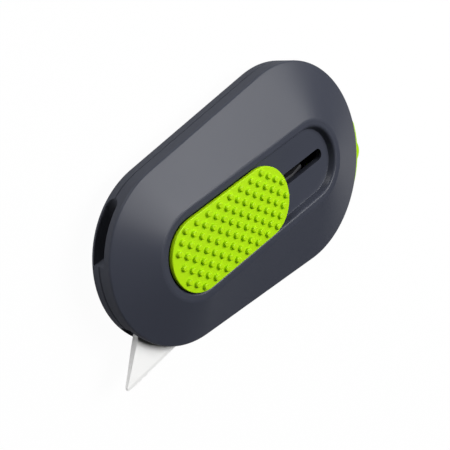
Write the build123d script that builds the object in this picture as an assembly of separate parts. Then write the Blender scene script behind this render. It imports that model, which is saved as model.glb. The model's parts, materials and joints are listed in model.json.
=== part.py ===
"""Key-ring-size utility knife: a two-shell casing with a thumb slider that drives a ceramic blade.

Frame, in millimetres: the knife lies on its flat back face with the slider up. +Z is up, X runs
along the casing with the blade at the -X end, and the blade leaves the casing on its -Y side.
The origin is the centre of the casing's outline, on the plane of the back face.
"""
from build123d import *
from math import asin, cos, radians, sin, sqrt, tan
import os

# ---- casing outline: two end circles joined by their common tangents ----
overall_length = 61.0
front_radius = 14.95
rear_radius = 18.0

# ---- casing heights ----
back_rise = 3.4            # sloping back, from the flat face to the back edge
back_inset = 7.0           # how far the flat back face lies inside the outline
seam_height = 1.6          # from the back edge up to the seam between the shells
front_rise = 2.94          # sloping front, from the front edge to the rim of the well
wall = 1.3                 # shell wall
back_flat_extra = 0.3      # the cavity's flat floor lies this much further in than the face
back_eaves = 0.8           # the cavity's upright side starts this far above the back edge
front_eaves = 0.6          # and ends this far below the front edge
back_line = 0.25           # width and depth of the fine line round the back face
back_line_inset = 2.4

# ---- thumb well in the front shell ----
well_front_inset = 8.85    # from the casing's front end to the well
well_rear_inset = 10.15    # from the well to the casing's rear end
well_half_width = 6.3
well_depth = 1.2
well_draft = 0.5           # how much narrower the well is at its floor, each side
well_floor = 1.2           # thickness of the well's floor
well_wall = 1.1            # thickness of its wall, inside the casing
land_width = 1.2           # level land round the rim
roof_margin = 0.9          # the cavity's roof reaches this far outside the land
roof_thickness = 1.75      # measured straight up, at the land
crown_blend = 1.5          # between the sloping front and the land
rim_blend = 0.55
floor_blend = 0.12
edge_blend = 0.35          # where the slope meets the side band
seam_chamfer = 0.18

# ---- thumb slider ----
grip_gap = 0.26            # between the grip and the rim of the well
grip_length = 27.63
grip_proud = 0.5           # grip's top above the rim
grip_thickness = 0.62
grip_side = 0.7            # upright part of its side
grip_taper = 0.55          # how much narrower the slider is at its foot, each side
grip_blend = 0.12
slide_gap = 0.12           # running gap over and under the well's floor
stack_gap = 0.3            # between the blade carrier and the slider above it
bump_radius = 0.56
bump_top_radius = 0.48
bump_height = 0.48
bump_blend = 0.2
bump_step_x = 1.295        # half the pitch along a row
bump_step_y = 1.253        # from row to row
bump_rows = {0: (-10, 8), 1: (-9, 9), 2: (-10, 8), 3: (-9, 7), 4: (-8, 6)}
bump_lead = 1.08           # the pattern's zero lies this far behind the middle of the grip
slot_half_width = 1.03
slot_inset = 2.3           # from the slot's rear end to the well's
stem_gap = 0.1             # stem to slot, all round
stem_length = 3.0
stem_inset = 4.86          # from the grip's front end to the front stem
retainer_half_width = 3.4
retainer_thickness = 1.05
retainer_overhang = 0.25   # past the stems, at each end
retainer_corner = 1.2
retainer_screw_radius = 0.5
retainer_screw_bite = 1.9  # how far the screw goes up into the stem
retainer_head_radius = 1.0
retainer_head_height = 0.4
tail_length = 10.5         # of the retainer's tail, behind the rear stem
tail_level = 7.1           # the part of that length that lies level
tail_drop = 0.3            # from the retainer's underside down to the end of the tail
tail_tip = 0.4             # thickness at the end of the tail
tail_side = 1.7            # from the long axis to the tail's outer side
tail_root_inset = 0.33     # from the long axis to its inner side, at its root
tail_end_inset = 0.75      # and at its end
socket_radius = 0.4        # driving socket in each screw's head
socket_depth = 0.2

# ---- ceramic blade ----
blade_thickness = 1.2
blade_reach = 3.3          # from the casing's front end to the corner of the blade
blade_drop = 0.05          # from the side of the front circle to that corner
blade_edge_angle = 3.7     # cutting edge against the casing's long axis
blade_end_angle = 48.3     # between the cutting edge and each end of the blade
blade_edge_length = 26.0
blade_width = 9.0
blade_tip_radius = 0.5
bevel_width = 5.8
edge_bevel_width = 0.7
edge_bevel_half = 0.26     # half thickness where the two bevels meet
edge_half = 0.04
stud_lead = 1.0            # the first stud is this far behind the middle of the blade
stud_pitch = 4.6
stud_inset = 3.0           # from the blade's back edge
stud_radius = 1.2
stud_gap = 0.05
stud_head_radius = 1.8
stud_head_height = 0.42

# ---- mouths that the blade can leave through ----
mouth_height = 2.44
mouth_end_y = 5.6
blade_mouth_length = 11.9  # each mouth's reach along X, from the casing's front end
spare_mouth_length = 7.9
mouth_corner = 1.1
blade_clearance = 0.3

# ---- blade carrier and its guide ----
travel_angle = 8.0         # the carrier's path against the casing's long axis
plate_thickness = 0.85
plate_front = 1.4          # the plate over the blade, beyond the first stud
plate_rear = 3.4           # beyond the last stud
plate_low = 2.8            # back from the cutting edge
plate_lap = 2.0            # beyond the blade's back edge, into the guide block
keeper_thickness = 0.65
keeper_corner = 0.8
keeper_end = 1.75          # beyond the studs, at each end
keeper_low = 3.6           # back from the cutting edge
keeper_inset = 0.4         # in from the blade's back edge
block_inset = 9.5          # from the casing's front end to the guide block
block_gap = 0.25           # between the blade's back edge and the guide block
block_length = 17.2
block_width = 4.6
rail_width = 2.0
rail_height = 1.2
rail_lead = 0.8            # the rail starts this far behind the block's front at rest
rail_run_out = 0.6         # rail left behind the block when it is drawn back
rail_gap = 0.08
lift_gap = 0.2             # under the guide block
rail_pin_radius = 0.6
rail_pin_inset = 2.5
rail_pin_depth = 0.7
drive_lead = 14.0          # from the guide block's front to the pin
drive_radius = 1.0
drive_gap = 0.05
drive_reach = 2.1          # how far the pin stands below the retainer
drive_wall = 1.2           # metal left round the cross slot
drive_floor = 0.25
pin_chamfer = 0.12         # on the ends of pins, studs and the magnet

# ---- detent leaf spring, beside the retainer ----
leaf_thickness = 0.25
leaf_height = 0.8
leaf_nose = 6.5            # in front of the detent
leaf_tail = 8.6            # behind the detent
leaf_gap = 0.55            # between the leaf and the retainer's side
detent_inset = 2.9         # in front of the rear stem's rear face
detent_depth = 0.45
detent_flat = 0.25
detent_flank = 1.2
detent_gap = 0.1
leaf_boss_length = 3.2
leaf_boss_width = 2.0
rivet_radius = 0.25
rivet_head_radius = 0.4
rivet_head_height = 0.25
rivet_bite = 1.6
rivet_pitch = 1.5

# ---- rear latch ----
latch_thickness = 2.1
latch_gap = 0.14
latch_chamfer = 0.2
pad_angle = -21.0          # the thumb pad's direction, about the centre of the rear end
pad_reach = 2.2            # beyond the casing's outline
pad_radius = 15.0          # the curve of the pad's end
pad_half_width = 6.5
pad_corner = 0.9
rib_angle = -20.0
rib_reach = 2.7            # beyond the casing's outline
rib_radius = 2.5
notch_half_width = 3.4     # open middle of the latch, under the rear of the slot
notch_depth = 3.6
latch_travel = 1.5
latch_depth = 11.6         # inside the casing, from its rear end
ear_width = 2.0            # beyond the body, each side
ear_depth = 6.9            # from the casing's rear end to the front of the ears
ear_gap = 0.15
hook_depth = 7.1           # from the casing's rear end to the hook
hook_thickness = 1.2
hook_width = 2.4
hook_side = 1.1            # latch left outside the hook
hook_toe = 0.9
hook_head = 0.58
hook_gap = 0.12
window_gap = 0.2
spring_coil_radius = 0.7
spring_wire_radius = 0.13
spring_turns = 5
spring_length = 4.0
spring_pocket = 0.8
spring_pocket_radius = 0.93
post_length = 1.3
post_half_width = 1.3
post_gap = 0.15            # from a spring post to the line of the detent leaf
strap_depth = 10.7         # from the casing's rear end to the strap
strap_width = 1.4
strap_thickness = 0.55
strap_corner = 0.45
strap_gap = 0.12
strap_screw_radius = 0.5
strap_head_radius = 0.95
strap_head_height = 0.35
strap_end = 1.1            # strap past each screw's axis
boss_radius = 1.35
boss_inset = 5.45          # from the outline to the boss's axis
boss_gap = 0.25            # between a boss and the latch
insert_radius = 0.85
insert_length = 2.0
insert_gap = 0.05          # screw to insert

# ---- holding magnet ----
magnet_depth = 15.3        # from the casing's rear end
magnet_y = -1.0
magnet_radius = 3.4
magnet_thickness = 1.1
cup_wall = 0.55
cup_base = 0.35
cup_skin = 0.5             # plastic left under the cup

# ---- hook and locating lip between the shells ----
tongue_inset = 2.6         # from the casing's front end
tongue_thickness = 1.0
tongue_half_width = 2.6
tongue_toe = 0.85
tongue_toe_height = 0.45
ledge_height = 0.7
ledge_low = 0.5            # above the seam
ledge_gap = 0.13
ledge_side = 0.4           # how much wider than the tongue the ledge is, each side
lip_thickness = 0.6
lip_rise = 0.9
lip_gap = 0.06
lip_root = 0.8
lip_break = 0.4            # the lip stops this far from the ledge and from the latch's ears

# ---- heights worked out from the sizes above ----
z_back_edge = back_rise
z_seam = z_back_edge + seam_height
z_blade = (z_seam - blade_thickness / 2, z_seam + blade_thickness / 2)
z_plate = (z_blade[1], z_blade[1] + plate_thickness)
z_keeper = (z_blade[0] - keeper_thickness, z_blade[0])
z_retainer = (z_plate[1] + stack_gap, z_plate[1] + stack_gap + retainer_thickness)
z_under_well = z_retainer[1] + slide_gap
z_well = z_under_well + well_floor
z_rim = z_well + well_depth
z_front_edge = z_rim - front_rise
z_foot = z_well + slide_gap
z_grip_top = z_rim + grip_proud
z_grip_low = z_grip_top - grip_thickness
z_floor = wall
z_back_eaves = z_back_edge + back_eaves
z_front_eaves = z_front_edge - front_eaves
z_block_low = z_floor + lift_gap
z_rail = z_floor + rail_height
z_drive = z_retainer[0] - drive_reach
z_latch = (z_seam - latch_thickness / 2, z_seam + latch_thickness / 2)
z_strap = (z_latch[0] - strap_gap - strap_thickness, z_latch[0] - strap_gap)

# ---- places worked out from the sizes above ----
front_x = -overall_length / 2
rear_x = overall_length / 2
front_centre_x = front_x + front_radius
rear_centre_x = rear_x - rear_radius
well_front_x = front_x + well_front_inset
well_rear_x = rear_x - well_rear_inset
grip_front_x = well_front_x + grip_gap
grip_rear_x = grip_front_x + grip_length
grip_half_width = well_half_width - grip_gap
slider_travel = well_rear_x - grip_gap - grip_rear_x
carrier_travel = slider_travel / cos(radians(travel_angle))
carrier_rise = slider_travel * tan(radians(travel_angle))
slot_rear_x = well_rear_x - slot_inset
stem_front_x = grip_front_x + stem_inset
stem_rear_x = slot_rear_x - stem_gap - slider_travel
stem_half = slot_half_width - stem_gap
stem_centres = (stem_front_x + stem_length / 2, stem_rear_x - stem_length / 2)
blade_corner_x = front_x - blade_reach
blade_corner_y = -front_radius - blade_drop
first_stud = blade_edge_length / 2 + stud_lead
stud_along = (first_stud, first_stud + stud_pitch)
stud_across = blade_width - stud_inset
blade_mouth_x = front_x + blade_mouth_length
spare_mouth_x = front_x + spare_mouth_length
block_front_x = front_x + block_inset
blade_back_y = blade_corner_y + blade_width / cos(radians(blade_edge_angle))
blade_slope = tan(radians(blade_edge_angle))
block_front_y = blade_back_y + block_gap + (block_front_x - blade_corner_x) * blade_slope
rail_length = block_length - rail_lead + carrier_travel + rail_run_out
drive_x = block_front_x + drive_lead
leaf_y = retainer_half_width + leaf_gap
leaf_z = (z_retainer[0] + z_retainer[1]) / 2
rivet_hole_y = (leaf_y + leaf_thickness, leaf_y + leaf_thickness + rivet_bite)
detent_x = stem_rear_x - detent_inset
leaf_front_x = detent_x - leaf_nose
leaf_rear_x = detent_x + leaf_tail
strap_x = rear_x - strap_depth
strap_screw_y = sqrt((rear_radius - boss_inset) ** 2 - (strap_x - rear_centre_x) ** 2)
latch_half_width = strap_screw_y - boss_radius - boss_gap
latch_front_x = rear_x - latch_depth
ear_half_width = latch_half_width + ear_width
ear_front_x = rear_x - ear_depth
pad_centre = rear_radius + pad_reach - pad_radius
pad_corner_out = pad_centre + sqrt(pad_radius ** 2 - pad_half_width ** 2)
pad_middle_y = pad_corner_out * sin(radians(pad_angle))
pad_side = pad_half_width * cos(radians(pad_angle))
pad_y = (pad_middle_y - pad_side, pad_middle_y + pad_side)
rib_centre = rear_radius + rib_reach - rib_radius
hook_x = rear_x - hook_depth
hook_y = latch_half_width - hook_side - hook_width / 2
spring_y = leaf_y + leaf_thickness + post_gap + post_half_width
magnet_x = rear_x - magnet_depth
tongue_x = front_x + tongue_inset
far = 2 * overall_length


def egg(inset, z):
    """The casing's outline, moved inwards by inset, as a face at height z."""
    r1 = front_radius - inset
    r2 = rear_radius - inset
    lean = asin((r2 - r1) / (rear_centre_x - front_centre_x))
    a = (front_centre_x - r1 * sin(lean), r1 * cos(lean))
    b = (rear_centre_x - r2 * sin(lean), r2 * cos(lean))
    ring = Line(a, b)
    ring += ThreePointArc(b, (rear_centre_x + r2, 0), (b[0], -b[1]))
    ring += Line((b[0], -b[1]), (a[0], -a[1]))
    ring += ThreePointArc((a[0], -a[1]), (front_centre_x - r1, 0), a)
    return Pos(0, 0, z) * make_face(ring)


def stadium(x0, x1, half, z):
    """A round-ended face from x0 to x1 at height z."""
    a = x0 + half
    b = x1 - half
    ring = Line((a, half), (b, half))
    ring += ThreePointArc((b, half), (x1, 0), (b, -half))
    ring += Line((b, -half), (a, -half))
    ring += ThreePointArc((a, -half), (x0, 0), (a, half))
    return Pos(0, 0, z) * make_face(ring)


def cavity_inset(z):
    """How far the inside of the back shell lies within the outline, at height z."""
    slope = (back_inset + back_flat_extra - wall) / (z_back_eaves - z_floor)
    return wall + max(0, z_back_eaves - z) * slope


def well_outline(grow, z):
    """The thumb well's outline, moved outwards by grow."""
    return stadium(well_front_x - grow, well_rear_x + grow, well_half_width + grow, z)


def raised(face, height):
    return extrude(face, height, dir=(0, 0, 1))


def between(low, high):
    return loft([low, high], ruled=True)


def block(x, y, z):
    """A box from three pairs of limits."""
    centre = Pos((x[0] + x[1]) / 2, (y[0] + y[1]) / 2, (z[0] + z[1]) / 2)
    return centre * Box(x[1] - x[0], y[1] - y[0], z[1] - z[0])


def upright(x, y, z, radius):
    """A round bar standing between the two heights z."""
    return Pos(x, y, (z[0] + z[1]) / 2) * Cylinder(radius, z[1] - z[0])


def plate(points, z):
    return raised(Pos(0, 0, z[0]) * make_face(Polyline(*points, close=True)), z[1] - z[0])


def mirrored(shape):
    """The shape together with its copy on the other side of the long axis."""
    return shape + mirror(shape, about=Plane.XZ)


def flat_edges(solid, z):
    """Edges that lie wholly at height z."""
    return [
        edge
        for edge in solid.edges()
        if abs(edge.bounding_box().min.Z - z) < 1e-3 and abs(edge.bounding_box().max.Z - z) < 1e-3
    ]


def inside_well(edge):
    """Whether an edge at the rim belongs to the well, and not to the outside of the land."""
    return edge.bounding_box().max.Y < well_half_width + land_width / 2


def by_blade(along, across):
    """A plan point given along and across the cutting edge."""
    turn = radians(blade_edge_angle)
    x = blade_corner_x + along * cos(turn) - across * sin(turn)
    y = blade_corner_y + along * sin(turn) + across * cos(turn)
    return (x, y)


def by_path(along, across):
    """A plan point given along and across the carrier's path, from the guide block's corner."""
    turn = radians(travel_angle)
    x = block_front_x + along * cos(turn) - across * sin(turn)
    y = block_front_y + along * sin(turn) + across * cos(turn)
    return (x, y)


def rectangle(place, along, across):
    """Four corners of a rectangle in one of the two turned plans."""
    return [
        place(along[0], across[0]),
        place(along[1], across[0]),
        place(along[1], across[1]),
        place(along[0], across[1]),
    ]


def blade_outline(grow):
    """The blade's plan outline, moved outwards by grow."""
    lean = 1 / tan(radians(blade_end_angle))
    tip = grow * lean + grow / sin(radians(blade_end_angle))
    back = (blade_width + 2 * grow) * lean
    return [
        by_blade(-tip, -grow),
        by_blade(blade_edge_length + tip, -grow),
        by_blade(blade_edge_length + tip - back, blade_width + grow),
        by_blade(-tip + back, blade_width + grow),
    ]


def cut_mouths(shell):
    """Cuts both blade mouths, and room for the cutting edge inside the wall."""
    height = (z_seam - mouth_height / 2, z_seam + mouth_height / 2)
    shell -= block((-far, blade_mouth_x), (-far, -mouth_end_y), height)
    spare = block((-far, spare_mouth_x), (mouth_end_y, far), height)
    end = [e for e in spare.edges().filter_by(Axis.Y) if e.center().X > spare_mouth_x - 0.01]
    shell -= fillet(end, mouth_corner)
    room = blade_thickness / 2 + blade_clearance
    shell -= plate(blade_outline(blade_clearance), (z_seam - room, z_seam + room))
    return shell


def cut_latch_passage(shell):
    x = (ear_front_x - latch_travel - latch_gap, far)
    y = (pad_y[0] - latch_gap, pad_y[1] + latch_gap)
    return shell - block(x, y, (z_latch[0] - latch_gap, z_latch[1] + latch_gap))


def leaf_boss():
    x = (leaf_rear_x - leaf_boss_length, leaf_rear_x)
    y = (leaf_y + leaf_thickness, leaf_y + leaf_thickness + leaf_boss_width)
    return block(x, y, (z_retainer[0], z_under_well + well_floor / 2))


def rivet_places():
    x = leaf_rear_x - leaf_boss_length / 2
    return (x - rivet_pitch / 2, x + rivet_pitch / 2)


def across_bar(x, y, z, radius):
    """A round bar along Y between the two limits y."""
    return Pos(x, (y[0] + y[1]) / 2, z) * Rot(90, 0, 0) * Cylinder(radius, y[1] - y[0])


def front_inside(grow):
    """The front shell's hollow, made larger all round by grow."""
    hollow = raised(egg(wall - grow, z_seam), z_front_eaves - z_seam)
    roof = well_outline(land_width + roof_margin, z_rim - roof_thickness + grow)
    return hollow + between(egg(wall - grow, z_front_eaves), roof)


def back_inside(grow):
    """The back shell's hollow, made larger all round by grow."""
    hollow = between(egg(back_inset + back_flat_extra, z_floor - grow), egg(wall - grow, z_back_eaves))
    return hollow + raised(egg(wall - grow, z_back_eaves), z_seam - z_back_eaves)


def front_fittings():
    """Strap bosses, spring posts, leaf boss and front ledge, cut to the inside of the shell."""
    boss = upright(strap_x, strap_screw_y, (z_strap[1], z_rim), boss_radius)
    post_rear_x = latch_front_x + spring_pocket - spring_length
    post_x = (post_rear_x - post_length, post_rear_x)
    post_y = (spring_y - post_half_width, spring_y + post_half_width)
    post = block(post_x, post_y, (z_latch[0], z_under_well + well_floor / 2))
    ledge_half = tongue_half_width + ledge_side
    ledge_z = (z_seam + ledge_low, z_seam + ledge_low + ledge_height)
    ledge = block((-far, tongue_x - ledge_gap), (-ledge_half, ledge_half), ledge_z)
    fittings = mirrored(boss) + mirrored(post) + leaf_boss() + ledge
    below = raised(egg(back_inset / 2, 0), z_seam)
    return fittings & (front_inside(wall / 2) + below)


def front_cover():
    shell = raised(egg(0, z_seam), z_front_edge - z_seam)
    shell += between(egg(0, z_front_edge), well_outline(land_width, z_rim))
    shell = fillet(flat_edges(shell, z_rim), crown_blend)
    shell = fillet(flat_edges(shell, z_front_edge), edge_blend)
    shell = chamfer(flat_edges(shell, z_seam), seam_chamfer)
    tub = raised(well_outline(well_wall, z_under_well), z_rim - z_under_well)
    shell -= front_inside(0) - tub

    well = between(well_outline(-well_draft, z_well), well_outline(0, z_rim))
    shell -= fillet(flat_edges(well, z_well), floor_blend)
    rim = [edge for edge in flat_edges(shell, z_rim) if inside_well(edge)]
    shell = fillet(rim, rim_blend)
    slot = stadium(stem_front_x - stem_gap, slot_rear_x, slot_half_width, z_under_well)
    shell -= raised(slot, well_floor)
    shell = cut_latch_passage(cut_mouths(shell)) + front_fittings()

    insert_z = (z_strap[1], z_strap[1] + insert_length)
    shell -= mirrored(upright(strap_x, strap_screw_y, insert_z, insert_radius))
    for x in rivet_places():
        shell -= across_bar(x, rivet_hole_y, leaf_z, rivet_radius)
    return shell


def lip():
    """Locating lip that stands up from the back shell inside the front shell's wall."""
    low = z_seam - lip_root
    ring = raised(egg(wall - lip_gap, low), lip_root)
    ring += raised(egg(wall + lip_gap, z_seam), lip_rise)
    ring -= raised(egg(wall + lip_gap + lip_thickness, low), lip_root + lip_rise)
    tall = (0, z_rim)
    at_ledge = tongue_half_width + ledge_side + lip_break
    at_latch = ear_half_width + lip_break
    ring -= block((-far, 0), (-at_ledge, at_ledge), tall)
    ring -= block((-far, block_front_x + block_length), (-far, -mouth_end_y), tall)
    ring -= block((latch_front_x, far), (-at_latch, at_latch), tall)
    return ring


def latch_hook():
    """One of the back shell's two posts that rise through the latch and hook over it."""
    y = (hook_y - hook_width / 2, hook_y + hook_width / 2)
    z_toe = z_latch[1] + hook_gap
    z_top = z_toe + hook_head
    post = block((hook_x, hook_x + hook_thickness), y, (0, z_top))
    return post + block((hook_x - hook_toe, hook_x), y, (z_toe, z_top))


def tongue():
    """The back shell's front hook, which reaches over the front shell's ledge."""
    y = (-tongue_half_width, tongue_half_width)
    z_toe = z_seam + ledge_low + ledge_height + ledge_gap
    z_top = z_toe + tongue_toe_height
    post = block((tongue_x, tongue_x + tongue_thickness), y, (0, z_top))
    return post + block((tongue_x - tongue_toe, tongue_x), y, (z_toe, z_top))


def back_cover():
    shell = between(egg(back_inset, 0), egg(0, z_back_edge))
    shell += raised(egg(0, z_back_edge), z_seam - z_back_edge)
    shell = chamfer(flat_edges(shell, z_seam), seam_chamfer)
    line = raised(egg(back_inset + back_line_inset, 0), back_line)
    shell -= line - raised(egg(back_inset + back_line_inset + back_line, 0), back_line)
    shell -= back_inside(0)
    shell = cut_latch_passage(cut_mouths(shell + lip()))

    above = raised(egg(wall, z_seam), z_rim - z_seam)
    fittings = mirrored(latch_hook()) + tongue()
    shell += fittings & (back_inside(wall / 2) + above)
    shell -= upright(magnet_x, magnet_y, (cup_skin, z_seam), magnet_radius + cup_wall)
    for x, y in rail_pin_places():
        shell -= upright(x, y, (z_floor - rail_pin_depth, z_floor), rail_pin_radius)
    return shell


def bump():
    """One grip bump: a short cone with a rounded top edge."""
    cone = Cone(bump_radius, bump_top_radius, bump_height)
    top = cone.edges().sort_by(Axis.Z)[-1]
    return Pos(0, 0, bump_height / 2) * fillet(top, bump_blend)


def bump_places():
    """Bumps stand on a diagonal grid, in rows that shorten towards the grip's sides."""
    middle = (grip_front_x + grip_rear_x) / 2 + bump_lead
    places = []
    for row in range(-4, 5):
        first, last = bump_rows[abs(row)]
        for step in range(first, last + 1, 2):
            places.append((middle + step * bump_step_x, row * bump_step_y))
    return places


def slider_body():
    """The slider from its foot to the top of the grip, before it is split in two."""
    foot = stadium(
        grip_front_x + grip_taper, grip_rear_x - grip_taper, grip_half_width - grip_taper, z_foot
    )
    waist = stadium(grip_front_x, grip_rear_x, grip_half_width, z_grip_top - grip_side)
    body = between(foot, waist) + raised(waist, grip_side)
    return fillet(flat_edges(body, z_grip_top), grip_blend)


def slider_grip():
    grip = slider_body() - block((-far, far), (-far, far), (0, z_grip_low))
    one = bump()
    grip += [Pos(x, y, z_grip_top) * one for x, y in bump_places()]
    return grip


def slider_base():
    base = slider_body() - block((-far, far), (-far, far), (z_grip_low, 2 * z_rim))
    for x in stem_centres:
        ends = (x - stem_length / 2, x + stem_length / 2)
        base += raised(stadium(*ends, stem_half, z_retainer[1]), z_foot - z_retainer[1])
        base -= upright(x, 0, (z_retainer[1], z_retainer[1] + retainer_screw_bite), retainer_screw_radius)
    return base


def detent_outline(grow):
    """The leaf's bent nose and the notch it drops into, on the retainer's +Y side."""
    nose_y = retainer_half_width - detent_depth - grow
    flat = detent_flat + grow
    foot = flat + detent_flank
    return nose_y, flat, foot


def retainer_tail():
    """A finger under one half of the slot, behind the slider. It dips to clear the sloping front."""
    low, high = z_retainer
    level_x = stem_rear_x + tail_level
    end_x = stem_rear_x + tail_length
    end_z = low - tail_drop
    top = [(stem_rear_x, low), (stem_rear_x, high), (level_x, high), (end_x, end_z + tail_tip)]
    side = top + [(end_x, end_z), (level_x, low)]
    finger = extrude(Plane.XZ * make_face(Polyline(*side, close=True)), tail_side, both=True)
    outline = [
        (stem_rear_x, -tail_side),
        (end_x, -tail_side),
        (end_x, -tail_end_inset),
        (stem_rear_x, -tail_root_inset),
    ]
    return finger & plate(outline, (end_z, high))


def slider_retainer():
    x = (stem_front_x - retainer_overhang, stem_rear_x + retainer_overhang)
    bar = block(x, (-retainer_half_width, retainer_half_width), z_retainer)
    bar = fillet(bar.edges().filter_by(Axis.Z), retainer_corner) + retainer_tail()
    for stem_x in stem_centres:
        bar -= upright(stem_x, 0, z_retainer, retainer_screw_radius)
        head = (z_retainer[0], z_retainer[0] + retainer_head_height)
        bar -= upright(stem_x, 0, head, retainer_head_radius)
    bar -= upright(drive_x, 0, z_retainer, drive_radius)
    nose_y, flat, foot = detent_outline(detent_gap)
    for x in (detent_x, detent_x - slider_travel):
        inner = [(x - flat, nose_y), (x + flat, nose_y)]
        outer = [(x + foot, leaf_y), (x - foot, leaf_y)]
        bar -= plate(inner + outer, z_retainer)
    return bar


def retainer_screws():
    screws = []
    for x in stem_centres:
        head = (z_retainer[0], z_retainer[0] + retainer_head_height)
        screw = upright(x, 0, head, retainer_head_radius)
        screw -= upright(x, 0, (head[0], head[0] + socket_depth), socket_radius)
        screw += upright(x, 0, (head[1], z_retainer[1] + retainer_screw_bite), retainer_screw_radius)
        screws.append(screw)
    return screws


def drive_pin():
    pin = upright(drive_x, 0, (z_drive, z_retainer[1]), drive_radius)
    return chamfer(pin.edges().sort_by(Axis.Z)[0], pin_chamfer)


def ceramic_blade():
    """Trapezoid blade, ground from both faces to a cutting edge that is itself bevelled again."""
    half = blade_thickness / 2
    section = [
        (0, edge_half),
        (edge_bevel_width, edge_bevel_half),
        (bevel_width, half),
        (blade_width, half),
        (blade_width, -half),
        (bevel_width, -half),
        (edge_bevel_width, -edge_bevel_half),
        (0, -edge_half),
    ]
    profile = make_face(Polyline(*[(0, across, z) for across, z in section], close=True))
    bar = extrude(profile, blade_edge_length, dir=(1, 0, 0))
    bar = Pos(blade_corner_x, blade_corner_y, z_seam) * Rot(0, 0, blade_edge_angle) * bar
    outline = plate(blade_outline(0), (z_seam - 1, z_seam + 1))
    tips = [e for e in outline.edges().filter_by(Axis.Z) if distance_across(e) < 0.1]
    blade = bar & fillet(tips, blade_tip_radius)
    for along in stud_along:
        x, y = by_blade(along, stud_across)
        blade -= upright(x, y, z_blade, stud_radius + stud_gap)
    return blade


def distance_across(edge):
    """How far an upright edge stands from the line of the cutting edge."""
    turn = radians(blade_edge_angle)
    dx = edge.center().X - blade_corner_x
    dy = edge.center().Y - blade_corner_y
    return abs(dy * cos(turn) - dx * sin(turn))


def carrier_holes(shape, z, radius):
    for along in stud_along:
        x, y = by_blade(along, stud_across)
        shape -= upright(x, y, z, radius)
    return shape


def blade_carrier():
    body = plate(rectangle(by_path, (0, block_length), (0, block_width)), (z_block_low, z_plate[1]))
    along = (stud_along[0] - plate_front, stud_along[1] + plate_rear)
    body += plate(rectangle(by_blade, along, (plate_low, blade_width + plate_lap)), z_plate)
    slot_half = drive_radius + drive_gap
    slot_y = (-carrier_rise - slot_half, slot_half)
    arm_x = (drive_x - slot_half - drive_wall, drive_x + slot_half + drive_wall)
    arm_y = (slot_y[0] - drive_wall, slot_y[1] + drive_wall)
    z_slot = z_drive - drive_floor
    body += block(arm_x, arm_y, (z_slot, z_plate[1]))
    body -= block((drive_x - slot_half, drive_x + slot_half), slot_y, (z_slot, z_plate[1]))
    middle = block_width / 2
    half = rail_width / 2 + rail_gap
    groove = rectangle(by_path, (-block_width, far), (middle - half, middle + half))
    body -= plate(groove, (z_block_low, z_rail + rail_gap))
    return carrier_holes(body, z_plate, stud_radius)


def blade_keeper():
    along = (stud_along[0] - keeper_end, stud_along[1] + keeper_end)
    across = (keeper_low, blade_width - keeper_inset)
    keeper = plate(rectangle(by_blade, along, across), z_keeper)
    keeper = fillet(keeper.edges().filter_by(Axis.Z), keeper_corner)
    return carrier_holes(keeper, z_keeper, stud_radius)


def blade_studs():
    studs = []
    for along in stud_along:
        x, y = by_blade(along, stud_across)
        head = upright(x, y, (z_keeper[0] - stud_head_height, z_keeper[0]), stud_head_radius)
        head = chamfer(head.edges().sort_by(Axis.Z)[0], pin_chamfer)
        studs.append(head + upright(x, y, (z_keeper[0], z_plate[1]), stud_radius))
    return studs


def rail_pin_places():
    middle = block_width / 2
    first = rail_lead + rail_pin_inset
    last = rail_lead + rail_length - rail_pin_inset
    return [by_path(first, middle), by_path(last, middle)]


def guide_rail():
    middle = block_width / 2
    across = (middle - rail_width / 2, middle + rail_width / 2)
    rail = plate(rectangle(by_path, (rail_lead, rail_lead + rail_length), across), (z_floor, z_rail))
    for x, y in rail_pin_places():
        rail -= upright(x, y, (z_floor, z_rail), rail_pin_radius)
    return rail


def rail_pins():
    return [
        upright(x, y, (z_floor - rail_pin_depth, z_rail), rail_pin_radius)
        for x, y in rail_pin_places()
    ]


def detent_spring():
    nose_y, flat, foot = detent_outline(0)
    rise = leaf_y - nose_y
    thick = leaf_thickness * sqrt(1 + (detent_flank / rise) ** 2) / (detent_flank / rise)
    shift = thick - leaf_thickness
    inner = [
        (leaf_front_x, leaf_y),
        (detent_x - foot, leaf_y),
        (detent_x - flat, nose_y),
        (detent_x + flat, nose_y),
        (detent_x + foot, leaf_y),
        (leaf_rear_x, leaf_y),
    ]
    lean = shift * detent_flank / rise
    outer = [
        (leaf_rear_x, leaf_y + leaf_thickness),
        (detent_x + foot - lean, leaf_y + leaf_thickness),
        (detent_x + flat - lean, nose_y + leaf_thickness),
        (detent_x - flat + lean, nose_y + leaf_thickness),
        (detent_x - foot + lean, leaf_y + leaf_thickness),
        (leaf_front_x, leaf_y + leaf_thickness),
    ]
    leaf = plate(inner + outer, (leaf_z - leaf_height / 2, leaf_z + leaf_height / 2))
    for x in rivet_places():
        leaf -= across_bar(x, (leaf_y, leaf_y + leaf_thickness), leaf_z, rivet_radius)
    return leaf


def spring_rivets():
    rivets = []
    for x in rivet_places():
        rivet = across_bar(x, (leaf_y, rivet_hole_y[1]), leaf_z, rivet_radius)
        rivet += across_bar(x, (leaf_y - rivet_head_height, leaf_y), leaf_z, rivet_head_radius)
        rivets.append(rivet)
    return rivets


def about_rear(distance, angle, radius):
    """A round block of the latch's height, its axis out from the centre of the rear end."""
    x = rear_centre_x + distance * cos(radians(angle))
    return upright(x, distance * sin(radians(angle)), z_latch, radius)


def eased(piece):
    """A piece of the latch's height with its top and bottom edges chamfered."""
    return chamfer(flat_edges(piece, z_latch[0]) + flat_edges(piece, z_latch[1]), latch_chamfer)


def thumb_pad():
    """The part of the latch that stands out of the casing, with its one rib."""
    pad = about_rear(pad_centre, pad_angle, pad_radius) & block((ear_front_x, far), pad_y, z_latch)
    outer = [edge for edge in pad.edges().filter_by(Axis.Z) if edge.center().X > ear_front_x + pad_corner]
    return eased(fillet(outer, pad_corner)) + eased(about_rear(rib_centre, rib_angle, rib_radius))


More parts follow.
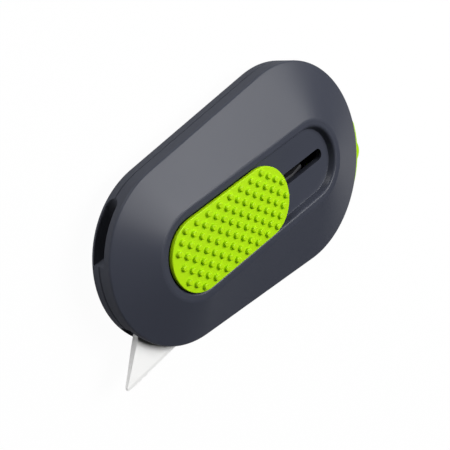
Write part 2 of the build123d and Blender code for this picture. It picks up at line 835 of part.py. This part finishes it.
def rear_latch():
    body = block((latch_front_x, far), (-latch_half_width, latch_half_width), z_latch)
    body += block((ear_front_x, far), (-ear_half_width, ear_half_width), z_latch)
    tab = body & about_rear(0, 0, rear_radius - cavity_inset(z_latch[0]) - ear_gap)
    notch = block((0, latch_front_x + notch_depth), (-notch_half_width, notch_half_width), z_latch)
    tab = eased(tab - notch) + thumb_pad()
    window_x = (hook_x - window_gap, hook_x + hook_thickness + latch_travel + window_gap)
    window_y = (hook_y - hook_width / 2 - window_gap, hook_y + hook_width / 2 + window_gap)
    tab -= mirrored(block(window_x, window_y, (0, z_rim)))
    pocket_x = latch_front_x + spring_pocket / 2
    pocket = Pos(pocket_x, spring_y, z_seam) * Rot(0, 90, 0) * Cylinder(spring_pocket_radius, spring_pocket)
    return tab - mirrored(pocket)


def latch_springs():
    """Two small coil springs, as wire swept round a helix."""
    springs = []
    run = spring_length - 2 * spring_wire_radius
    start_x = latch_front_x + spring_pocket - spring_length + spring_wire_radius
    path = Helix(run / spring_turns, run, spring_coil_radius)
    section = Plane(origin=path @ 0, z_dir=path % 0) * Circle(spring_wire_radius)
    coil = sweep(section, path)
    for side in (1, -1):
        springs.append(Pos(start_x, side * spring_y, z_seam) * Rot(0, 90, 0) * coil)
    return springs


def latch_strap():
    reach = strap_screw_y + strap_end
    x = (strap_x - strap_width / 2, strap_x + strap_width / 2)
    strap = block(x, (-reach, reach), z_strap)
    strap = fillet(strap.edges().filter_by(Axis.Z), strap_corner)
    for side in (1, -1):
        strap -= upright(strap_x, side * strap_screw_y, z_strap, strap_screw_radius)
    return strap


def strap_screws():
    screws = []
    for side in (1, -1):
        y = side * strap_screw_y
        head = upright(strap_x, y, (z_strap[0] - strap_head_height, z_strap[0]), strap_head_radius)
        shank = upright(strap_x, y, (z_strap[0], z_strap[1] + insert_length), strap_screw_radius)
        screws.append(head + shank)
    return screws


def strap_inserts():
    inserts = []
    for side in (1, -1):
        y = side * strap_screw_y
        z = (z_strap[1], z_strap[1] + insert_length)
        bush = upright(strap_x, y, z, insert_radius)
        inserts.append(bush - upright(strap_x, y, z, strap_screw_radius + insert_gap))
    return inserts


def magnet_cup():
    z = (cup_skin, cup_skin + cup_base + magnet_thickness)
    cup = upright(magnet_x, magnet_y, z, magnet_radius + cup_wall)
    return cup - upright(magnet_x, magnet_y, (z[0] + cup_base, z[1]), magnet_radius)


def holding_magnet():
    z_low = cup_skin + cup_base
    disc = upright(magnet_x, magnet_y, (z_low, z_low + magnet_thickness), magnet_radius)
    return chamfer(disc.edges().sort_by(Axis.Z)[-1], pin_chamfer)


pieces = {
    "front_cover": front_cover,
    "back_cover": back_cover,
    "slider_grip": slider_grip,
    "slider_base": slider_base,
    "slider_retainer": slider_retainer,
    "retainer_screws": retainer_screws,
    "drive_pin": drive_pin,
    "ceramic_blade": ceramic_blade,
    "blade_carrier": blade_carrier,
    "blade_keeper": blade_keeper,
    "blade_studs": blade_studs,
    "guide_rail": guide_rail,
    "rail_pins": rail_pins,
    "detent_spring": detent_spring,
    "spring_rivets": spring_rivets,
    "rear_latch": rear_latch,
    "latch_springs": latch_springs,
    "latch_strap": latch_strap,
    "strap_screws": strap_screws,
    "strap_inserts": strap_inserts,
    "magnet_cup": magnet_cup,
    "holding_magnet": holding_magnet,
}

os.makedirs("parts", exist_ok=True)
for name, make in pieces.items():
    shape = make()
    if isinstance(shape, list):
        shape = Compound(children=shape)
    export_step(shape, "parts/" + name + ".step")

print("slider travel", round(slider_travel, 3), "carrier travel", round(carrier_travel, 3))
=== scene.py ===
"""Looks of a pocket utility knife: moulded casing, lime thumb pad and latch, ground ceramic blade."""

import json
import math

import bpy
from mathutils import Matrix, Vector


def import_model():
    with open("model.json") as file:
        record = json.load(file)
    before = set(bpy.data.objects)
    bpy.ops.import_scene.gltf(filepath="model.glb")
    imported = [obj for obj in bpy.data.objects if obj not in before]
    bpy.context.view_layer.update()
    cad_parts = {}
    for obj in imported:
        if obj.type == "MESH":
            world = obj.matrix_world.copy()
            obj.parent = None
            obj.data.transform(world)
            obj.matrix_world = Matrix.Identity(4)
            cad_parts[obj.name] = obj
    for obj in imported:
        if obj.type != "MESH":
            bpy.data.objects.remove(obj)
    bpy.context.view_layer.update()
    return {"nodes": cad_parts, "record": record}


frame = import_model()

MM = 0.001
BAND_TOP = 7.1 * MM        # height at which the upright side band of the casing ends
SLOPE_FOOT = 7.5 * MM      # and at which its sloping front has wholly begun
WHITE = (1.0, 1.0, 1.0, 1.0)

FLOOR_SIZE = 2.0
FLOOR_DROP = 0.02 * MM     # keeps the floor off the flat back of the knife
FLOOR_WHITE = 0.97         # how far the floor is plain white where it is looked at
CEILING = 0.02             # strength of the dim ceiling, where the white backdrop has 1
BACKDROP_TOP = -0.04       # how steeply up one looks where the backdrop starts to fade
CEILING_FOOT = 0.08        # and where only the ceiling is left

LAMP_DISTANCE = 0.5
LAMP_SIZE = 0.25

SENSOR_WIDTH = 36.0
CAMERA_LENS = 70.65
CAMERA_PLACE = (-0.08772, 0.06146, 0.10603)
CAMERA_RIGHT = Vector((0.64305, -0.28656, 0.71019))
CAMERA_UP = Vector((0.50924, 0.85263, -0.11706))


class Value:
    """One output of a material's nodes. Arithmetic on it adds Math nodes."""

    def __init__(self, finish, socket):
        self.finish = finish
        self.socket = socket

    def combine(self, operation, first, second):
        return self.finish.node("ShaderNodeMath", {"operation": operation}, {0: first, 1: second})

    def __add__(self, other):
        return self.combine("ADD", self, other)

    def __radd__(self, other):
        return self.combine("ADD", other, self)

    def __sub__(self, other):
        return self.combine("SUBTRACT", self, other)

    def __rsub__(self, other):
        return self.combine("SUBTRACT", other, self)

    def __mul__(self, other):
        return self.combine("MULTIPLY", self, other)

    def __rmul__(self, other):
        return self.combine("MULTIPLY", other, self)


class Finish:
    """A material, or the world round it, while its nodes are being laid out."""

    def __init__(self, name, world=False):
        self.block = bpy.data.worlds.new(name) if world else bpy.data.materials.new(name)
        self.block.use_nodes = True
        self.tree = self.block.node_tree
        self.tree.nodes.clear()
        kind = "ShaderNodeOutputWorld" if world else "ShaderNodeOutputMaterial"
        self.output = self.tree.nodes.new(kind)

    def feed(self, socket, value):
        if isinstance(value, Value):
            self.tree.links.new(value.socket, socket)
        else:
            socket.default_value = value

    def node(self, kind, settings=None, inputs=None, output=0):
        """Adds one node: its settings first, then the values or links of its sockets."""
        made = self.tree.nodes.new(kind)
        for name, value in (settings or {}).items():
            setattr(made, name, value)
        for key, value in (inputs or {}).items():
            self.feed(made.inputs[key], value)
        return Value(self, made.outputs[output])

    def place(self, turn=0.0, stretch=(1.0, 1.0, 1.0)):
        """Places on the piece, in metres, turned about Z and stretched for streaks."""
        here = self.node("ShaderNodeTexCoord", output="Object")
        shrink = tuple(1 / factor for factor in stretch)
        inputs = {"Vector": here, "Rotation": (0.0, 0.0, -math.radians(turn))}
        turned = self.node("ShaderNodeMapping", {}, inputs)
        return self.node("ShaderNodeMapping", {}, {"Vector": turned, "Scale": shrink})

    def noise(self, size, detail=2.0, roughness=0.5, vector=None):
        """Noise from 0 to 1 whose features are about size metres across."""
        inputs = {
            "Vector": vector or self.place(),
            "Scale": 1 / size,
            "Detail": detail,
            "Roughness": roughness,
        }
        return self.node("ShaderNodeTexNoise", {}, inputs)

    def edges(self, radius):
        """1 on the edges that hands and pockets rub, 0 on open surfaces. The casing paints them
        lighter there, a painted edge highlight with a little wear.
        """
        rounded = self.node("ShaderNodeBevel", {"samples": 6}, {"Radius": radius})
        straight = self.node("ShaderNodeNewGeometry", output="True Normal")
        settings = {"operation": "DOT_PRODUCT"}
        along = self.node("ShaderNodeVectorMath", settings, {0: rounded, 1: straight}, "Value")
        return self.step(1 - along, 0.01, 0.25)

    def step(self, value, low, high):
        """0 below low, 1 above high and smooth between."""
        settings = {"interpolation_type": "SMOOTHSTEP", "clamp": True}
        return self.node("ShaderNodeMapRange", settings, {0: value, 1: low, 2: high, 3: 0.0, 4: 1.0})

    def height(self):
        """Height of a point of a piece in metres, or how steeply up one looks into the world."""
        here = self.node("ShaderNodeTexCoord", output="Object")
        return self.node("ShaderNodeSeparateXYZ", {}, {0: here}, "Z")

    def mix(self, factor, first, second):
        inputs = {0: factor, 6: first, 7: second}
        return self.node("ShaderNodeMix", {"data_type": "RGBA"}, inputs, 2)

    def bump(self, height, distance):
        return self.node("ShaderNodeBump", {}, {"Distance": distance, "Height": height})

    def principled(self, inputs):
        return self.node("ShaderNodeBsdfPrincipled", {}, inputs)

    def surface(self, inputs):
        return self.show(self.principled(inputs))

    def seen_directly(self, reach=1.0):
        """1 for rays that look at the background. Mirrored and clear views of it fade with reach."""
        kinds = ("Is Camera Ray", "Is Glossy Ray", "Is Transmission Ray")
        straight, mirrored, clear = [self.node("ShaderNodeLightPath", output=kind) for kind in kinds]
        return straight + (mirrored + clear) * reach

    def show(self, shader):
        self.feed(self.output.inputs["Surface"], shader)
        return self.block


def colour(red, green, blue):
    return (red, green, blue, 1.0)


def casing_plastic():
    """Charcoal, moulded against a spark-eroded tool. The sides and the back are coarser, and their
    lighter base is painted light on the side band; the edges carry a painted highlight.
    """
    f = Finish("casing_plastic")
    grain = f.noise(0.16 * MM, detail=3.0, roughness=0.6)
    cloud = f.noise(7 * MM)
    edge_mask = f.edges(0.25 * MM)
    side = 1 - f.step(f.height(), BAND_TOP, SLOPE_FOOT)
    # painted highlight: the edges are painted lighter, standing in for light catching their rounding,
    # with a little wear; they are also made smoother
    wear_and_edge_highlight = 0.6 * edge_mask
    plain = f.mix(cloud, colour(0.041, 0.045, 0.061), colour(0.044, 0.048, 0.065))
    # painted light: the side band and back get a lighter base than the front, standing in for the
    # light that falls on the side band
    side_painted_lighter = f.mix(cloud, colour(0.058, 0.062, 0.077), colour(0.062, 0.066, 0.082))
    front = f.principled({
        "Base Color": f.mix(wear_and_edge_highlight, plain, colour(0.052, 0.057, 0.077)),
        "Roughness": 0.25 + 0.08 * grain + 0.03 * cloud - 0.05 * edge_mask,
        "Specular IOR Level": 0.15,
        "Normal": f.bump(grain, 0.004 * MM),
    })
    # side band and back: coarser and rougher, with the painted lighter base and the painted edge
    # highlight
    rest = f.principled({
        "Base Color": f.mix(wear_and_edge_highlight, side_painted_lighter, colour(0.070, 0.074, 0.092)),
        "Roughness": 0.68 + 0.08 * grain + 0.03 * cloud - 0.05 * edge_mask,
        "Specular IOR Level": 0.04,
        "Normal": f.bump(grain, 0.006 * MM),
    })
    return f.show(f.node("ShaderNodeMixShader", {}, {0: side, 1: front, 2: rest}))


def lime_plastic():
    """Lime, through and through, with a satin skin."""
    f = Finish("lime_plastic")
    grain = f.noise(0.2 * MM)
    cloud = f.noise(4 * MM)
    base = f.mix(cloud, colour(0.365, 0.64, 0.0003), colour(0.385, 0.66, 0.0006))
    return f.surface({
        "Base Color": base,
        "Roughness": 0.36 + 0.08 * grain + 0.04 * cloud,
        "Specular IOR Level": 0.18,
        "Normal": f.bump(grain, 0.003 * MM),
    })


def inner_plastic():
    """Black, smooth from the mould, on the pieces that hands don't reach."""
    f = Finish("inner_plastic")
    grain = f.noise(0.2 * MM)
    cloud = f.noise(3 * MM)
    base = f.mix(cloud, colour(0.034, 0.034, 0.038), colour(0.040, 0.040, 0.044))
    return f.surface({
        "Base Color": base,
        "Roughness": 0.48 + 0.1 * grain,
        "Specular IOR Level": 0.2,
        "Normal": f.bump(grain, 0.004 * MM),
    })


def acetal():
    """Milled ivory plastic, with the cutter's lines along the rail."""
    f = Finish("acetal")
    cloud = f.noise(2 * MM)
    lines = f.noise(0.08 * MM, vector=f.place(turn=8, stretch=(25, 1, 1)))
    base = f.mix(cloud, colour(0.66, 0.65, 0.60), colour(0.72, 0.71, 0.66))
    return f.surface({
        "Base Color": base,
        "Roughness": 0.33 + 0.08 * cloud + 0.06 * lines,
        "Normal": f.bump(lines, 0.003 * MM),
    })


def ceramic():
    """White zirconia, with the grinding lines that run across the edge."""
    f = Finish("ceramic")
    lines = f.noise(0.05 * MM, vector=f.place(turn=3.7, stretch=(1, 30, 1)))
    cloud = f.noise(1.5 * MM, detail=3.0)
    base = f.mix(cloud, colour(0.91, 0.91, 0.90), colour(0.94, 0.94, 0.93))
    return f.surface({
        "Base Color": base,
        "Roughness": 0.27 + 0.1 * lines + 0.05 * cloud,
        "Normal": f.bump(lines, 0.0015 * MM),
    })


def metal(name, tint, rough, stretch=(12, 1, 1)):
    """Drawn or turned metal, with fine lines along its length and a few duller patches."""
    f = Finish(name)
    lines = f.noise(0.06 * MM, detail=3.0, vector=f.place(stretch=stretch))
    dull = f.noise(1.2 * MM, detail=4.0)
    base = f.mix(lines, colour(*[0.9 * level for level in tint]), colour(*tint))
    return f.surface({
        "Base Color": base,
        "Metallic": 1.0,
        "Roughness": rough + 0.08 * lines + 0.1 * dull,
        "Normal": f.bump(lines, 0.0015 * MM),
    })


def dress():
    finishes = {
        "casing": casing_plastic(),
        "lime": lime_plastic(),
        "inner_plastic": inner_plastic(),
        "acetal": acetal(),
        "ceramic": ceramic(),
        "steel": metal("steel", (0.56, 0.57, 0.59), 0.28),
        "spring_steel": metal("spring_steel", (0.42, 0.43, 0.46), 0.35),
        "brass": metal("brass", (0.62, 0.42, 0.16), 0.3),
        "nickel": metal("nickel", (0.45, 0.44, 0.42), 0.34),
    }
    slots = {part["node"]: part["material_slot"] for part in frame["record"]["subparts"]}
    for name, node in frame["nodes"].items():
        node.data.materials.clear()
        node.data.materials.append(finishes[slots[name]])


def floor():
    """White paper that still takes the knife's shadow."""
    f = Finish("floor")
    pale = f.noise(0.3, detail=1.0)
    paper = f.mix(pale, colour(0.8, 0.8, 0.8), colour(0.82, 0.82, 0.82))
    matt = f.node("ShaderNodeBsdfDiffuse", {}, {"Color": paper})
    glow = f.node("ShaderNodeEmission", {}, {"Color": WHITE, "Strength": 1.0})
    seen = f.seen_directly() * FLOOR_WHITE
    f.show(f.node("ShaderNodeMixShader", {}, {0: seen, 1: matt, 2: glow}))
    bpy.ops.mesh.primitive_plane_add(size=FLOOR_SIZE)
    plane = bpy.context.object
    plane.name = "floor"
    plane.location.z = -FLOOR_DROP
    plane.data.materials.append(f.block)


def world():
    """A white backdrop all round, under a dim ceiling."""
    f = Finish("studio", world=True)
    backdrop = 1 - f.step(f.height(), BACKDROP_TOP, CEILING_FOOT)
    dim = f.node("ShaderNodeBackground", {}, {"Color": WHITE, "Strength": CEILING})
    white = f.node("ShaderNodeBackground", {}, {"Color": WHITE, "Strength": 1.0})
    seen = f.seen_directly(backdrop)
    bpy.context.scene.world = f.show(f.node("ShaderNodeMixShader", {}, {0: seen, 1: dim, 2: white}))


def lamp(name, azimuth, elevation, level):
    """A square soft box, set so that a white card facing it would have the given level."""
    light = bpy.data.lights.new(name, "AREA")
    light.shape = "SQUARE"
    light.size = LAMP_SIZE
    light.energy = 4 * math.pi * LAMP_DISTANCE * LAMP_DISTANCE * level
    lamp_object = bpy.data.objects.new(name, light)
    bpy.context.scene.collection.objects.link(lamp_object)
    turn = math.radians(azimuth)
    rise = math.radians(elevation)
    aim = Vector((math.cos(turn) * math.cos(rise), math.sin(turn) * math.cos(rise), math.sin(rise)))
    lamp_object.location = aim * LAMP_DISTANCE
    lamp_object.rotation_mode = "QUATERNION"
    lamp_object.rotation_quaternion = aim.to_track_quat("Z", "Y")


def camera():
    data = bpy.data.cameras.new("camera")
    data.sensor_width = SENSOR_WIDTH
    data.lens = CAMERA_LENS
    data.clip_start = 0.01
    data.clip_end = 10
    turn = Matrix((CAMERA_RIGHT, CAMERA_UP, CAMERA_RIGHT.cross(CAMERA_UP))).transposed()
    camera_object = bpy.data.objects.new("camera", data)
    bpy.context.scene.collection.objects.link(camera_object)
    camera_object.matrix_world = Matrix.Translation(CAMERA_PLACE) @ turn.to_4x4()
    bpy.context.scene.camera = camera_object


camera()
world()
lamp("front_key", azimuth=15, elevation=50, level=0.42)
lamp("high_key", azimuth=30, elevation=70, level=0.62)
lamp("side", azimuth=100, elevation=5, level=0.5)
floor()
dress()
bpy.context.scene.view_settings.view_transform = "Standard"
